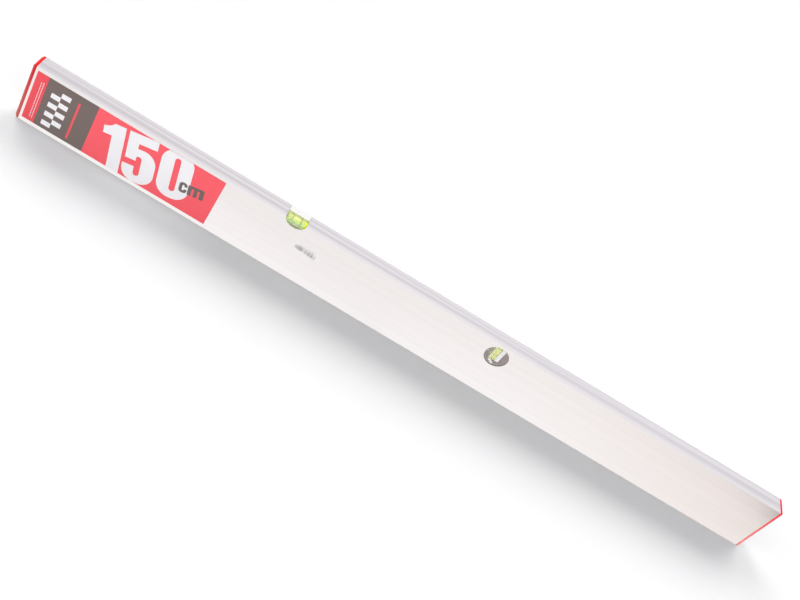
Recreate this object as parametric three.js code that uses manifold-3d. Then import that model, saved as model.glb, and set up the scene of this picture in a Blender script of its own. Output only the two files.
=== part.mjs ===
// Mason's straightedge: a box-section aluminium bar with a level vial let into its top
// edge, a plumb vial in a round window and a plastic cap pressed into each end.
//
// Millimetres. +X runs along the bar, +Z up, and the labelled face looks along -Y.
// The origin is the middle of the bar's lower edge, on which it stands.

import * as THREE from 'three';
import { mergeVertices } from 'three/addons/utils/BufferGeometryUtils.js';
import Module from 'manifold-3d';

const wasm = await Module();
wasm.setup();

// Bar
const barLength = 1500;
const barHeight = 120;
const barDepth = 35;
const barWall = 2;
const webThickness = 2;
const webBelowTop = 60;
const edgeRadius = 1.6;
const cellRadius = 1;

// Windows. The first is cut through both long faces and opens into the top edge. The
// second is a hole in the front face alone.
const levelWindowDiameter = 42;
const levelWindowFromLeft = 499;
const levelWindowAboveTop = 6.2;
const plumbWindowDiameter = 44.2;
const plumbWindowFromRight = 581;
const plumbWindowBelowTop = 28;

// Fits and cuts
const fitClearance = 0.3;
const cutOverrun = 5;

// End caps
const flangeThickness = 7;
const flangeChamfer = 4;
const tongueRoot = 1.5;
const tongueLength = 25;
const tongueWall = 2;

// Label and sticker
const labelLength = 360.5;
const labelHeight = 105.2;
const labelFromLeft = 4.5;
const labelFromBottom = 8.8;
const labelCorner = 1;
const labelThickness = 0.25;
const stickerLength = 48.5;
const stickerHeight = 19;
const stickerFromLeft = 540.8;
const stickerMiddleHeight = 75.1;
const stickerTiltDegrees = 4.5;
const stickerCorner = 1.5;
const stickerThickness = 0.15;

// What both vials have alike, named along and across their bores
const vialCorner = 0.8;
const boreRadius = 4.8;
const blindEnd = 3;
const plugLength = 3;
const ringSpacing = 16.5;
const ringWidth = 0.8;
const ringThickness = 0.5;
const bubbleLength = 10;
const bubbleRadius = 1.6;

// Where each bubble rests: a share of its way from the middle of the bore to the plug
const levelBubbleShare = 0;
const plumbBubbleShare = 1;

// Level vial and its carrier
const levelVialLength = 38;
const levelVialHeight = 11.2;
const levelVialDepth = 16.5;
const levelVialBelowTop = 0.2;
const levelVialBehindWall = 2;
const levelShelfReach = 13;

// Plumb vial and its carrier
const plumbVialLength = 37;
const plumbVialWidth = 15.5;
const plumbVialLeftOfWindow = 2.2;
const plumbVialDepth = 12;
const plumbVialBelowWall = 0.4;
const plumbPlate = 3;
const plumbCheek = 3.6;
const plumbLip = 0.6;
const plumbLipLeft = 1.3;
const plumbLipRight = 3.8;
const plumbLedge = 4;
const plumbLedgeLength = 9;
const plumbRib = 2;
const plumbLegSetback = 7;

// Fineness of round shapes
const cornerSteps = 3;
const windowSteps = 72;
const boreSteps = 32;
const bubbleSteps = 16;
const bubbleEndSteps = 5;

// Places that follow from the sizes above
const leftEnd = -barLength / 2;
const rightEnd = barLength / 2;
const frontFace = -barDepth / 2;
const backFace = barDepth / 2;
const innerFront = frontFace + barWall;
const innerBack = backFace - barWall;
const topWallUnderside = barHeight - barWall;
const webMiddle = barHeight - webBelowTop;
const cells = [
  { low: barWall, high: webMiddle - webThickness / 2 },
  { low: webMiddle + webThickness / 2, high: topWallUnderside },
];
const levelWindow = {
  x: leftEnd + levelWindowFromLeft,
  z: barHeight + levelWindowAboveTop,
  radius: levelWindowDiameter / 2,
  backEnd: backFace + cutOverrun,
};
const plumbWindow = {
  x: rightEnd - plumbWindowFromRight,
  z: barHeight - plumbWindowBelowTop,
  radius: plumbWindowDiameter / 2,
  backEnd: 0,
};

// Finishes
const finishes = {
  aluminium: { color: 0xe9e6e6, roughness: 0.4, metalness: 0.85 },
  capPlastic: { color: 0xd8302e, roughness: 0.5, metalness: 0 },
  labelFilm: { color: 0xee5c65, roughness: 0.35, metalness: 0 },
  stickerPaper: { color: 0xf6f3f1, roughness: 0.6, metalness: 0 },
  carrierPlastic: { color: 0xf3f3ef, roughness: 0.5, metalness: 0 },
  clearAcrylic: { color: 0xdff0a0, roughness: 0.1, metalness: 0, transparent: true, opacity: 0.45 },
  spirit: { color: 0xd4e850, roughness: 0.1, metalness: 0, transparent: true, opacity: 0.7 },
  ring: { color: 0x51602a, roughness: 0.4, metalness: 0 },
  bubble: { color: 0xfdfbd2, roughness: 0.1, metalness: 0 },
};

const straightedge = new THREE.Group();
straightedge.name = 'masons_straightedge';

function addPiece(name, geometry, finish) {
  const mesh = new THREE.Mesh(geometry, new THREE.MeshStandardMaterial(finish));
  mesh.name = name;
  straightedge.add(mesh);
}

// A closed geometry as a solid that can be joined and cut
function toSolid(geometry) {
  const bare = geometry.clone();
  bare.deleteAttribute('normal');
  bare.deleteAttribute('uv');
  const merged = mergeVertices(bare);
  const vertProperties = new Float32Array(merged.attributes.position.array);
  const triVerts = new Uint32Array(merged.index.array);
  return new wasm.Manifold(new wasm.Mesh({ numProp: 3, vertProperties, triVerts }));
}

function toGeometry(solid) {
  const { vertProperties, triVerts } = solid.getMesh();
  const geometry = new THREE.BufferGeometry();
  geometry.setAttribute('position', new THREE.BufferAttribute(vertProperties, 3));
  geometry.setIndex(new THREE.BufferAttribute(triVerts, 1));
  geometry.computeVertexNormals();
  return geometry;
}

// Adds a rounded rectangle to a shape or to the path of a hole
function roundedRectangle(path, left, bottom, right, top, radius) {
  path.moveTo(left + radius, bottom);
  path.lineTo(right - radius, bottom);
  path.absarc(right - radius, bottom + radius, radius, -Math.PI / 2, 0);
  path.lineTo(right, top - radius);
  path.absarc(right - radius, top - radius, radius, 0, Math.PI / 2);
  path.lineTo(left + radius, top);
  path.absarc(left + radius, top - radius, radius, Math.PI / 2, Math.PI);
  path.lineTo(left, bottom + radius);
  path.absarc(left + radius, bottom + radius, radius, Math.PI, 1.5 * Math.PI);
  return path;
}

function extrude(shape, depth) {
  return new THREE.ExtrudeGeometry(shape, { depth, bevelEnabled: false, curveSegments: cornerSteps });
}

// Columns say where a drawn shape's own X, Y and extrusion directions point in the bar
function turned(geometry, xTo, yTo, zTo) {
  return geometry.applyMatrix4(new THREE.Matrix4().makeBasis(xTo, yTo, zTo));
}

const alongX = new THREE.Vector3(1, 0, 0);
const alongY = new THREE.Vector3(0, 1, 0);
const alongZ = new THREE.Vector3(0, 0, 1);
const towardFront = new THREE.Vector3(0, -1, 0);

// A section drawn in Y and Z, run along the bar from one X to another
function runAlongBar(section, fromX, toX) {
  const geometry = turned(extrude(section, toX - fromX), alongY, alongZ, alongX);
  return geometry.translate(fromX, 0, 0);
}

// An outline drawn in X and Z, run from the back towards the labelled face
function runToFront(outline, backY, frontY) {
  const geometry = turned(extrude(outline, backY - frontY), alongX, alongZ, towardFront);
  return geometry.translate(0, backY, 0);
}

function box(low, high) {
  const size = new THREE.Vector3().subVectors(high, low);
  const middle = new THREE.Vector3().addVectors(low, high).multiplyScalar(0.5);
  return new THREE.BoxGeometry(size.x, size.y, size.z).translate(middle.x, middle.y, middle.z);
}

// A round cutter from before the front face to where the window ends
function windowCutter(window) {
  const frontEnd = frontFace - cutOverrun;
  const cutter = new THREE.CylinderGeometry(
    window.radius, window.radius, window.backEnd - frontEnd, windowSteps);
  return cutter.translate(window.x, (frontEnd + window.backEnd) / 2, window.z);
}

function barProfile() {
  const section = roundedRectangle(new THREE.Shape(), frontFace, 0, backFace, barHeight, edgeRadius);
  for (const cell of cells) {
    section.holes.push(
      roundedRectangle(new THREE.Path(), innerFront, cell.low, innerBack, cell.high, cellRadius));
  }
  let bar = toSolid(runAlongBar(section, leftEnd, rightEnd));
  for (const window of [levelWindow, plumbWindow]) {
    bar = bar.subtract(toSolid(windowCutter(window)));
  }
  return toGeometry(bar);
}

// A hollow plug that slides into one cell of the bar
function tongue(cell) {
  const outer = {
    left: innerFront + fitClearance,
    bottom: cell.low + fitClearance,
    right: innerBack - fitClearance,
    top: cell.high - fitClearance,
  };
  const section = roundedRectangle(
    new THREE.Shape(), outer.left, outer.bottom, outer.right, outer.top, cellRadius);
  section.holes.push(roundedRectangle(
    new THREE.Path(),
    outer.left + tongueWall, outer.bottom + tongueWall,
    outer.right - tongueWall, outer.top - tongueWall, cellRadius));
  return runAlongBar(section, rightEnd - tongueLength, rightEnd + tongueRoot);
}

// The right cap: a flange as large as the bar, its outer rim chamfered, and two tongues
function endCap() {
  const sharp = new THREE.Shape([
    new THREE.Vector2(frontFace, 0),
    new THREE.Vector2(backFace, 0),
    new THREE.Vector2(backFace, barHeight),
    new THREE.Vector2(frontFace, barHeight),
  ]);
  const chamfered = new THREE.ExtrudeGeometry(sharp, {
    depth: flangeThickness,
    bevelThickness: flangeChamfer,
    bevelSize: flangeChamfer,
    bevelOffset: -flangeChamfer,
    bevelSegments: 1,
  });
  turned(chamfered, alongY, alongZ, alongX).translate(rightEnd - flangeChamfer, 0, 0);
  const section = roundedRectangle(new THREE.Shape(), frontFace, 0, backFace, barHeight, edgeRadius);
  const outsideTheBar = runAlongBar(section, rightEnd, rightEnd + flangeThickness);
  let cap = toSolid(chamfered).intersect(toSolid(outsideTheBar));
  for (const cell of cells) {
    cap = cap.add(toSolid(tongue(cell)));
  }
  return toGeometry(cap);
}

// A flat piece on the front face, with its middle at a place and a tilt in that face
function facePlate(length, height, corner, thickness, middleX, middleZ, tiltDegrees) {
  const outline = roundedRectangle(
    new THREE.Shape(), -length / 2, -height / 2, length / 2, height / 2, corner);
  const plate = runToFront(outline, frontFace, frontFace - thickness);
  plate.rotateY(THREE.MathUtils.degToRad(tiltDegrees));
  return plate.translate(middleX, 0, middleZ);
}

// A rod along its own X, centred on it
function rod(radius, length) {
  return new THREE.CylinderGeometry(radius, radius, length, boreSteps).rotateZ(Math.PI / 2);
}

// The pieces of one block vial about its bore, which runs along X. Y is the side where the
// bubble shows, and the bore opens at the +X end, where the plug closes it.
function vialPieces(length, height, depth, bubbleShare) {
  const boreStart = -length / 2 + blindEnd;
  const spiritEnd = length / 2 - plugLength;
  const spiritLength = spiritEnd - boreStart - 2 * fitClearance;
  const spiritMiddle = (boreStart + spiritEnd) / 2;
  const ringOuter = boreRadius - fitClearance;
  const ringInner = ringOuter - ringThickness;
  const spiritRadius = ringInner - fitClearance;
  const bubbleOffset = spiritRadius - bubbleRadius;
  const bubbleTravel = (spiritLength - bubbleLength) / 2;
  const bubbleMiddle = spiritMiddle + bubbleShare * bubbleTravel;

  const section = roundedRectangle(
    new THREE.Shape(), -height / 2, -depth / 2, height / 2, depth / 2, vialCorner);
  const block = turned(extrude(section, length), alongY, alongZ, alongX).translate(-length / 2, 0, 0);
  const boreCut = rod(boreRadius, length).translate(blindEnd, 0, 0);
  const ring = toSolid(rod(ringOuter, ringWidth)).subtract(toSolid(rod(ringInner, 2 * ringWidth)));
  const track = rod(bubbleRadius + fitClearance, length).translate(0, bubbleOffset, 0);
  const bubble = new THREE.CapsuleGeometry(
    bubbleRadius, bubbleLength - 2 * bubbleRadius, bubbleEndSteps, bubbleSteps);

  return {
    block: toGeometry(toSolid(block).subtract(toSolid(boreCut))),
    plug: rod(boreRadius - fitClearance, plugLength).translate(length / 2 - plugLength / 2, 0, 0),
    spirit: toGeometry(
      toSolid(rod(spiritRadius, spiritLength).translate(spiritMiddle, 0, 0)).subtract(toSolid(track))),
    bubble: bubble.rotateZ(Math.PI / 2).translate(bubbleMiddle, bubbleOffset, 0),
    ringLow: toGeometry(ring).translate(spiritMiddle - ringSpacing / 2, 0, 0),
    ringHigh: toGeometry(ring).translate(spiritMiddle + ringSpacing / 2, 0, 0),
  };
}

// The level vial lies along the bar, read from above, a little behind the front wall
const levelVial = {
  low: new THREE.Vector3(
    levelWindow.x - levelVialLength / 2,
    innerFront + levelVialBehindWall,
    barHeight - levelVialBelowTop - levelVialHeight),
  high: new THREE.Vector3(
    levelWindow.x + levelVialLength / 2,
    innerFront + levelVialBehindWall + levelVialDepth,
    barHeight - levelVialBelowTop),
};

// The plumb vial stands across the bar, read from the front, behind its carrier's lips
const plumbVialFront = innerFront + fitClearance + plumbLip;
const plumbVialMiddle = plumbWindow.x - plumbVialLeftOfWindow;
const plumbVial = {
  low: new THREE.Vector3(
    plumbVialMiddle - plumbVialWidth / 2,
    plumbVialFront,
    topWallUnderside - plumbVialBelowWall - plumbVialLength),
  high: new THREE.Vector3(
    plumbVialMiddle + plumbVialWidth / 2,
    plumbVialFront + plumbVialDepth,
    topWallUnderside - plumbVialBelowWall),
};

function middleOf(space) {
  return new THREE.Vector3().addVectors(space.low, space.high).multiplyScalar(0.5);
}

// Turns a vial's pieces from their own directions into the bar's and adds them
function addVial(prefix, pieces, space, directions, ringNames) {
  const middle = middleOf(space);
  const place = (geometry) => turned(geometry, ...directions).translate(middle.x, middle.y, middle.z);
  addPiece(`${prefix}_vial`, place(pieces.block), finishes.clearAcrylic);
  addPiece(`${prefix}_plug`, place(pieces.plug), finishes.clearAcrylic);
  addPiece(`${prefix}_spirit`, place(pieces.spirit), finishes.spirit);
  addPiece(`${prefix}_bubble`, place(pieces.bubble), finishes.bubble);
  addPiece(`${prefix}_ring_${ringNames[0]}`, place(pieces.ringLow), finishes.ring);
  addPiece(`${prefix}_ring_${ringNames[1]}`, place(pieces.ringHigh), finishes.ring);
}

// Fills the back of the level window, flush with the top and the back face, and reaches
// under the vial as a shelf
function levelCarrier() {
  const radius = levelWindow.radius - fitClearance;
  const top = levelVial.high.z;
  const halfAngle = Math.acos((levelWindow.z - top) / radius);
  const outline = new THREE.Shape();
  outline.absarc(
    levelWindow.x, levelWindow.z, radius, -Math.PI / 2 - halfAngle, -Math.PI / 2 + halfAngle);
  const geometry = new THREE.ExtrudeGeometry(outline, {
    depth: backFace - (levelVial.high.y - levelShelfReach),
    bevelEnabled: false,
    curveSegments: boreSteps,
  });
  const body = turned(geometry, alongX, alongZ, towardFront).translate(0, backFace, 0);
  const pocket = box(
    new THREE.Vector3(levelVial.low.x - cutOverrun, frontFace, levelVial.low.z),
    new THREE.Vector3(levelVial.high.x + cutOverrun, levelVial.high.y, barHeight + cutOverrun));
  return toGeometry(toSolid(body).subtract(toSolid(pocket)));
}

// A back plate with a short ledge under the vial, a cheek beside it, a lip over each side of
// its front and two ribs that stand on the web
function plumbCarrier() {
  const cell = cells[1];
  const low = plumbVial.low;
  const high = plumbVial.high;
  const ledgeLow = low.z - plumbLedge;
  const plateBack = high.y + plumbPlate;
  const ribBack = innerBack - fitClearance;
  const right = high.x + plumbCheek;
  const front = low.y - plumbLip;
  const plate = box(
    new THREE.Vector3(low.x, high.y, ledgeLow),
    new THREE.Vector3(right, plateBack, high.z));
  const ledge = box(
    new THREE.Vector3(low.x, front, ledgeLow),
    new THREE.Vector3(low.x + plumbLedgeLength, plateBack, low.z));
  const cheek = box(
    new THREE.Vector3(high.x, front, low.z),
    new THREE.Vector3(right, plateBack, high.z));
  const leftLip = box(
    new THREE.Vector3(low.x, front, low.z),
    new THREE.Vector3(low.x + plumbLipLeft, low.y, high.z));
  const rightLip = box(
    new THREE.Vector3(high.x - plumbLipRight, front, low.z),
    new THREE.Vector3(high.x, low.y, high.z));
  let carrier = toSolid(plate);
  for (const part of [ledge, cheek, leftLip, rightLip]) {
    carrier = carrier.add(toSolid(part));
  }
  for (const ribLeft of [low.x, right - plumbRib]) {
    const rib = box(
      new THREE.Vector3(ribLeft, plateBack - plumbPlate / 2, ledgeLow),
      new THREE.Vector3(ribLeft + plumbRib, ribBack, high.z));
    const leg = box(
      new THREE.Vector3(ribLeft, high.y + plumbLegSetback, cell.low + fitClearance),
      new THREE.Vector3(ribLeft + plumbRib, ribBack, high.z));
    carrier = carrier.add(toSolid(rib)).add(toSolid(leg));
  }
  return toGeometry(carrier);
}

addPiece('bar_profile', barProfile(), finishes.aluminium);
addPiece('right_end_cap', endCap(), finishes.capPlastic);
addPiece('left_end_cap', endCap().rotateZ(Math.PI), finishes.capPlastic);
addPiece(
  'size_label',
  facePlate(
    labelLength, labelHeight, labelCorner, labelThickness,
    leftEnd + labelFromLeft + labelLength / 2, labelFromBottom + labelHeight / 2, 0),
  finishes.labelFilm);
addPiece(
  'code_sticker',
  facePlate(
    stickerLength, stickerHeight, stickerCorner, stickerThickness,
    leftEnd + stickerFromLeft, stickerMiddleHeight, stickerTiltDegrees),
  finishes.stickerPaper);

addPiece('level_carrier', levelCarrier(), finishes.carrierPlastic);
addVial(
  'level', vialPieces(levelVialLength, levelVialHeight, levelVialDepth, levelBubbleShare), levelVial,
  [alongX, alongZ, towardFront], ['left', 'right']);

addPiece('plumb_carrier', plumbCarrier(), finishes.carrierPlastic);
addVial(
  'plumb', vialPieces(plumbVialLength, plumbVialDepth, plumbVialWidth, plumbBubbleShare), plumbVial,
  [alongZ, towardFront, alongX], ['lower', 'upper']);

export default straightedge;
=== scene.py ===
# %% [markdown]
# # A mason's straightedge
#
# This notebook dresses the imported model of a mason's straightedge: a long aluminium box
# section with a level vial in its top edge, a plumb vial in a round window, a printed label
# and a red plastic cap on each end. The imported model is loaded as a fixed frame. Its nodes
# say where everything is, and each new piece is modelled at that place.

# %% Load the frame and keep its box
import math
import bmesh
import bpy
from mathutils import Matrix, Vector


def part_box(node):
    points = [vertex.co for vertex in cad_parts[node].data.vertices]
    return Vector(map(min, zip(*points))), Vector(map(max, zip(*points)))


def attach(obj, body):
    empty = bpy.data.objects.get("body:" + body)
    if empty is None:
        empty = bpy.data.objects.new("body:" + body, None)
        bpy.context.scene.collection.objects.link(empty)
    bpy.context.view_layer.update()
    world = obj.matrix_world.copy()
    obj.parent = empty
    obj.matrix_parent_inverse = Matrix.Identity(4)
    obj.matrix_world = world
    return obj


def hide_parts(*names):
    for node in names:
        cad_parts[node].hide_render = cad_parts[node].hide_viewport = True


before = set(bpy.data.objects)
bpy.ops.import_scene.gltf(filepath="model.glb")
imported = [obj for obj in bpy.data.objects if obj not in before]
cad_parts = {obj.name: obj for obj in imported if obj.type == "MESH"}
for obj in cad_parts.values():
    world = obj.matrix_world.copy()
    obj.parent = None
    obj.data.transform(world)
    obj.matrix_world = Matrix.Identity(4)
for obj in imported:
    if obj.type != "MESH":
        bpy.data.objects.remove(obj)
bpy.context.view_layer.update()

# %% [markdown]
# ## The camera
#
# The photograph looks down on the bar from in front of its left half, and the camera is
# rolled so that the bar runs from the upper left to the lower right. The place and angles
# below were fitted to the bar's corners. A small shift moves the frame off the lens axis,
# as the photograph was cropped off its middle.

# %% Camera
camera_data = bpy.data.cameras.new("photo_camera")
camera = bpy.data.objects.new("photo_camera", camera_data)
bpy.context.scene.collection.objects.link(camera)
bpy.context.scene.camera = camera
camera.location = (-0.33228, -1.44382, 1.27902)
camera.rotation_euler = [math.radians(a) for a in (45.7928, -26.6672, 17.1943)]
camera_data.lens = 48.9325
camera_data.sensor_width = 36
camera_data.shift_x = 0.075
camera_data.shift_y = -0.075
print("the camera is", round(camera.location.length, 2),
      "m from the middle of the bar's lower edge")

# %% [markdown]
# ## The floor and the light
#
# The bar stands on white paper in soft studio light, and its shadow falls on the paper in
# front of it, past both ends. So the main light is a pair of wide lamps behind the bar, one
# towards each end. Three weaker ones fill in: one from the front, low enough to light the
# face but hardly the paper, one from beside the camera, which reaches into the windows, and
# one from the left, whose faint shadow lies past the right end. The paper is white to the
# camera, but it still takes the shadow: a diffuse white with a little glow of its own, only
# for rays that come from the camera. Metal and clear plastic mirror the same paper, but rays
# that come from them see a painted reflection in its place: a glow that is brighter near the
# bar, warmer towards the right, and painted dark past the bar's right end.

# %% Nodes
def deselect():
    """Leaves edit mode and selects nothing."""
    if bpy.context.object and bpy.context.object.mode != "OBJECT":
        bpy.ops.object.mode_set(mode="OBJECT")
    bpy.ops.object.select_all(action="DESELECT")


def node(tree, kind, **values):
    """A shader node. Its sockets are set by name, with _ for a space, and its own
    properties too."""
    new = tree.nodes.new(kind)
    for name, value in values.items():
        socket = new.inputs.get(name.replace("_", " "))
        if socket is None:
            setattr(new, name, value)
        else:
            socket.default_value = value
    return new


def maths(tree, operation, first, second=None):
    """A sum or a test of one or two values, each a number or a socket."""
    step = node(tree, "ShaderNodeMath", operation=operation)
    for socket, value in zip(step.inputs, (first, second)):
        if isinstance(value, (int, float)):
            socket.default_value = value
        elif value is not None:
            tree.links.new(value, socket)
    return step.outputs[0]


def ramp(tree, source, start, end, low=0.0, high=1.0):
    """Runs from low to high while the source goes from start to end."""
    step = node(
        tree, "ShaderNodeMapRange", From_Min=start, From_Max=end, To_Min=low, To_Max=high)
    tree.links.new(source, step.inputs["Value"])
    return step.outputs[0]


def colour_mix(tree, share, first, second):
    """Runs from the first colour to the second as the share rises. A colour can be a
    socket too."""
    mix = node(tree, "ShaderNodeMix", data_type="RGBA")
    tree.links.new(share, mix.inputs[0])
    for socket, colour in ((mix.inputs[6], first), (mix.inputs[7], second)):
        if isinstance(colour, tuple):
            socket.default_value = (*colour, 1)
        else:
            tree.links.new(colour, socket)
    return mix.outputs[2]


def shader_mix(tree, share, first, second):
    """Runs from the first shader to the second as the share rises."""
    mix = node(tree, "ShaderNodeMixShader")
    for socket, source in zip(mix.inputs, (share, first, second)):
        tree.links.new(source, socket)
    return mix.outputs[0]


def mirror_rays(tree, seen_by):
    """1 for rays that a mirroring surface sends straight back from what the camera sees."""
    direct = maths(tree, "LESS_THAN", seen_by["Diffuse Depth"], 0.5)
    return maths(tree, "MULTIPLY", seen_by["Is Glossy Ray"], direct)


# %% Floor
FLOOR_WIDTH, FLOOR_GLOW = 60, 0.03

paper = bpy.data.materials.new("white_paper")
paper.use_nodes = True
tree = paper.node_tree
tree.nodes.clear()
output = node(tree, "ShaderNodeOutputMaterial")
seen_by = node(tree, "ShaderNodeLightPath").outputs
place = node(tree, "ShaderNodeNewGeometry")
axes = node(tree, "ShaderNodeSeparateXYZ")
tree.links.new(place.outputs["Position"], axes.inputs[0])
near_the_bar = ramp(tree, axes.outputs["Y"], -0.20, -0.02)
to_the_right = ramp(tree, axes.outputs["X"], 0.3, 0.8)
past_the_end = ramp(tree, axes.outputs["X"], 0.84, 0.885)
# Painted reflection: the paper that metal and clear plastic mirror is a glow painted brighter
# near the bar, warmer to the right and dark past the bar's right end.
sheet = colour_mix(tree, near_the_bar, (1.01, 0.955, 0.95), (1.07, 1.035, 1.03))
sheet = colour_mix(tree, to_the_right, sheet, (0.985, 0.90, 0.87))
sheet = colour_mix(tree, past_the_end, sheet, (0.06, 0.05, 0.05))
mirrored = node(tree, "ShaderNodeEmission", Strength=1)
tree.links.new(sheet, mirrored.inputs["Color"])

lit = node(tree, "ShaderNodeBsdfDiffuse", Color=(0.9, 0.9, 0.9, 1))
glow = node(tree, "ShaderNodeEmission", Color=(1, 1, 1, 1), Strength=FLOOR_GLOW)
dark = node(tree, "ShaderNodeEmission", Color=(0, 0, 0, 1), Strength=0)
camera_glow = shader_mix(tree, seen_by["Is Camera Ray"], dark.outputs[0], glow.outputs[0])
both = node(tree, "ShaderNodeAddShader")
tree.links.new(lit.outputs[0], both.inputs[0])
tree.links.new(camera_glow, both.inputs[1])
in_metal_or_glass = maths(
    tree, "MAXIMUM", mirror_rays(tree, seen_by), seen_by["Is Transmission Ray"])
floor_shader = shader_mix(tree, in_metal_or_glass, both.outputs[0], mirrored.outputs[0])
tree.links.new(floor_shader, output.inputs["Surface"])

deselect()
bpy.ops.mesh.primitive_plane_add(size=FLOOR_WIDTH, location=(0, 0, 0))
floor = bpy.context.object
floor.name = "floor"
floor.data.materials.append(paper)
print("the floor is", round(floor.dimensions.x), "m wide")

# %% Room
world = bpy.data.worlds.new("studio")
bpy.context.scene.world = world
world.use_nodes = True
tree = world.node_tree
tree.nodes.clear()
output = node(tree, "ShaderNodeOutputWorld")
seen_by = node(tree, "ShaderNodeLightPath").outputs
direction = node(tree, "ShaderNodeTexCoord")
axes = node(tree, "ShaderNodeSeparateXYZ")
tree.links.new(direction.outputs["Generated"], axes.inputs[0])
off_the_left = ramp(tree, axes.outputs["X"], -0.1, 0.3)
to_the_right = ramp(tree, axes.outputs["X"], 0.48, 0.75)
to_the_back = ramp(tree, axes.outputs["Y"], -0.1, 0.35)
walls = colour_mix(tree, off_the_left, (0.80, 0.77, 0.79), (0.90, 0.875, 0.90))
walls = colour_mix(tree, to_the_right, walls, (0.46, 0.40, 0.42))
walls = colour_mix(tree, to_the_back, (1.02, 1.0, 1.0), walls)
room = node(tree, "ShaderNodeBackground", Strength=1)
tree.links.new(walls, room.inputs["Color"])

ambient = node(tree, "ShaderNodeBackground", Color=(0.98, 0.96, 1, 1), Strength=0.34)
white = node(tree, "ShaderNodeBackground", Color=(1, 1, 1, 1), Strength=1)
lighting = shader_mix(tree, mirror_rays(tree, seen_by), ambient.outputs[0], room.outputs[0])
sees_white = maths(tree, "MAXIMUM", seen_by["Is Camera Ray"], seen_by["Is Transmission Ray"])
tree.links.new(
    shader_mix(tree, sees_white, lighting, white.outputs[0]), output.inputs["Surface"])


# %% Lamps
def lamp(name, towards, width, brightness):
    """A far lamp. towards points from the bar to it, width is the angle that it fills, and
    brightness is what a white card that faces it shows. Metal mirrors the walls in its
    place, so that no sharp lamp shows in it."""
    data = bpy.data.lights.new(name, "SUN")
    data.angle = math.radians(width)
    data.energy = brightness * math.pi
    made = bpy.data.objects.new(name, data)
    bpy.context.scene.collection.objects.link(made)
    made.rotation_euler = Vector(towards).to_track_quat("Z", "Y").to_euler()
    made.visible_glossy = False
    print(name, "shows", brightness, "on a white card that faces it")


lamp("left_lamp", (-0.7, 0.9, 1.02), 40, 0.40)
lamp("right_lamp", (0.5, 0.9, 1.02), 40, 0.40)
lamp("low_lamp", (0.2, -1.0, 0.09), 9, 0.28)
lamp("side_lamp", (0.5, -0.6, 0.75), 24, 0.10)
lamp("end_lamp", (-1.0, -0.45, 0.85), 40, 0.22)

# %% [markdown]
# ## Tools for modelling
#
# Sizes below are in millimetres, as a maker would write them, and one helper turns them into
# metres. A block or a rod is added at its size and place, and its transform is applied, so
# the object sits at the origin and the place is in its mesh. Edges and faces are then
# selected by where they are or which way they run, and shaped in edit mode.

# %% Blocks and rods
MM = 0.001


def metres(*values):
    """Millimetres as metres."""
    return tuple(v * MM for v in values)


def corners(name):
    """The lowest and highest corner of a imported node, in millimetres."""
    return [Vector(c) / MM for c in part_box(name)]


def apply_place(obj, name):
    """Names the object and its mesh, and puts its size, turn and place into the mesh."""
    obj.name = name
    obj.data.name = name
    bpy.ops.object.transform_apply(location=True, rotation=True, scale=True)
    return obj


def block(name, low, high):
    """A box from its lowest to its highest corner."""
    deselect()
    size = [h - l for l, h in zip(low, high)]
    middle = [(l + h) / 2 for l, h in zip(low, high)]
    bpy.ops.mesh.primitive_cube_add(size=1, location=metres(*middle))
    bpy.context.object.scale = metres(*size)
    return apply_place(bpy.context.object, name)


def rod(name, start, end, radius, sides=64):
    """A round bar between two points on a line along one of the axes."""
    deselect()
    way = Vector(end) - Vector(start)
    middle = [(s + e) / 2 for s, e in zip(start, end)]
    bpy.ops.mesh.primitive_cylinder_add(
        vertices=sides, radius=radius * MM, depth=way.length * MM, location=metres(*middle),
        rotation=way.to_track_quat("Z", "Y").to_euler())
    return apply_place(bpy.context.object, name)


# %% Selecting and shaping in edit mode
def pick(obj, *others):
    """Selects one object, or several, and makes the first the active one."""
    deselect()
    for each in (obj, *others):
        each.select_set(True)
    bpy.context.view_layer.objects.active = obj


def edit(obj, kind, action="DESELECT"):
    """Edit mode on one object, with nothing or all of it selected. kind is EDGE or FACE."""
    pick(obj)
    bpy.ops.object.mode_set(mode="EDIT")
    bpy.ops.mesh.select_mode(type=kind)
    bpy.ops.mesh.select_all(action=action)
    return bmesh.from_edit_mesh(obj.data)


def select_faces(obj, rule):
    """Selects the faces for which rule(middle in mm, normal) holds."""
    mesh = edit(obj, "FACE")
    for face in mesh.faces:
        face.select_set(bool(rule(face.calc_center_median() / MM, face.normal)))
    bmesh.update_edit_mesh(obj.data)


def select_edges(obj, rule):
    """Selects the edges for which rule(middle in mm, direction) holds, and counts them."""
    mesh = edit(obj, "EDGE")
    for edge in mesh.edges:
        a, b = (v.co for v in edge.verts)
        edge.select_set(bool(rule((a + b) / 2 / MM, (b - a).normalized())))
    bmesh.update_edit_mesh(obj.data)
    return sum(edge.select for edge in mesh.edges)


def bevel_edges(obj, rule, radius, segments):
    """Rounds the edges that the rule picks, and says how many they were."""
    count = select_edges(obj, rule)
    bpy.ops.mesh.bevel(
        offset=radius * MM, segments=segments, affect="EDGES", clamp_overlap=False)
    bpy.ops.object.mode_set(mode="OBJECT")
    return count


def boolean(obj, tool, operation):
    """Cuts the tool out of the object or joins it on, and takes the tool away."""
    pick(obj)
    modifier = obj.modifiers.new(operation, "BOOLEAN")
    modifier.operation, modifier.solver, modifier.object = operation, "EXACT", tool
    bpy.ops.object.modifier_apply(modifier=modifier.name)
    bpy.data.objects.remove(tool)


def join(obj, *others):
    """Makes several objects one piece, without changing their shapes."""
    pick(obj, *others)
    bpy.ops.object.join()


# %% Finishing a piece
SMOOTH_UNDER = 32  # degrees between two faces that still look like one round one


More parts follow.
